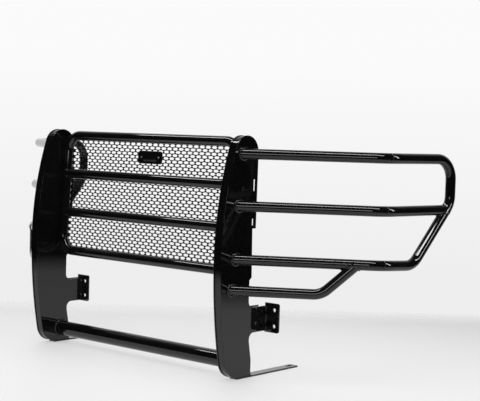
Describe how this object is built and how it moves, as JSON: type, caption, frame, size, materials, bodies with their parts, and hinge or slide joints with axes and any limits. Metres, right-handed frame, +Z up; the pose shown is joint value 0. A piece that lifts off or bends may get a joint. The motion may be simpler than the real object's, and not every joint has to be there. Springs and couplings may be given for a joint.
{
  "type": "front grille guard",
  "caption": "Black tube-and-plate front grille guard with a mesh-backed hoop, boxed uprights, a bottom cross tube and wrap-round headlight wings.",
  "frame": {"origin": "on the floor, on the middle plane between the uprights, at the middle of the guard's depth", "axes": "+X to the right seen from the front, +Y rearwards towards the truck, +Z up"},
  "size_m": [2.0522, 0.733, 0.882],
  "materials": {
    "frame_paint": "gloss black powder coat",
    "weld_paint": "gloss black powder coat over rippled weld",
    "mesh_paint": "semi-gloss black powder coat",
    "badge_paint": "satin black",
    "zinc_hardware": "bright zinc plate"
  },
  "bodies": {
    "root": {"badge_nuts": "zinc_hardware", "badge_plate": "badge_paint", "badge_screws": "zinc_hardware", "badge_spacers": "zinc_hardware", "bottom_cross_tube": "frame_paint", "bottom_tube_welds": "weld_paint", "cross_tube_welds": "weld_paint", "grille_hoop": "frame_paint", "grille_mesh": "mesh_paint", "hoop_stitch_welds": "weld_paint", "left_bracket_bolts": "zinc_hardware", "left_bracket_nuts": "zinc_hardware", "left_bracket_washers": "zinc_hardware", "left_floor_strap": "frame_paint", "left_frame_bracket": "frame_paint", "left_front_strip": "frame_paint", "left_inner_plate": "frame_paint", "left_outer_plate": "frame_paint", "left_strap_weld": "weld_paint", "left_wing_brace": "frame_paint", "left_wing_landing_welds": "weld_paint", "left_wing_loop": "frame_paint", "left_wing_middle_tube": "frame_paint", "left_wing_root_welds": "weld_paint", "lower_cross_tube": "frame_paint", "right_bracket_bolts": "zinc_hardware", "right_bracket_nuts": "zinc_hardware", "right_bracket_washers": "zinc_hardware", "right_floor_strap": "frame_paint", "right_frame_bracket": "frame_paint", "right_front_strip": "frame_paint", "right_inner_plate": "frame_paint", "right_outer_plate": "frame_paint", "right_strap_weld": "weld_paint", "right_wing_brace": "frame_paint", "right_wing_landing_welds": "weld_paint", "right_wing_loop": "frame_paint", "right_wing_middle_tube": "frame_paint", "right_wing_root_welds": "weld_paint", "upper_cross_tube": "frame_paint"}
  },
  "joints": []
}
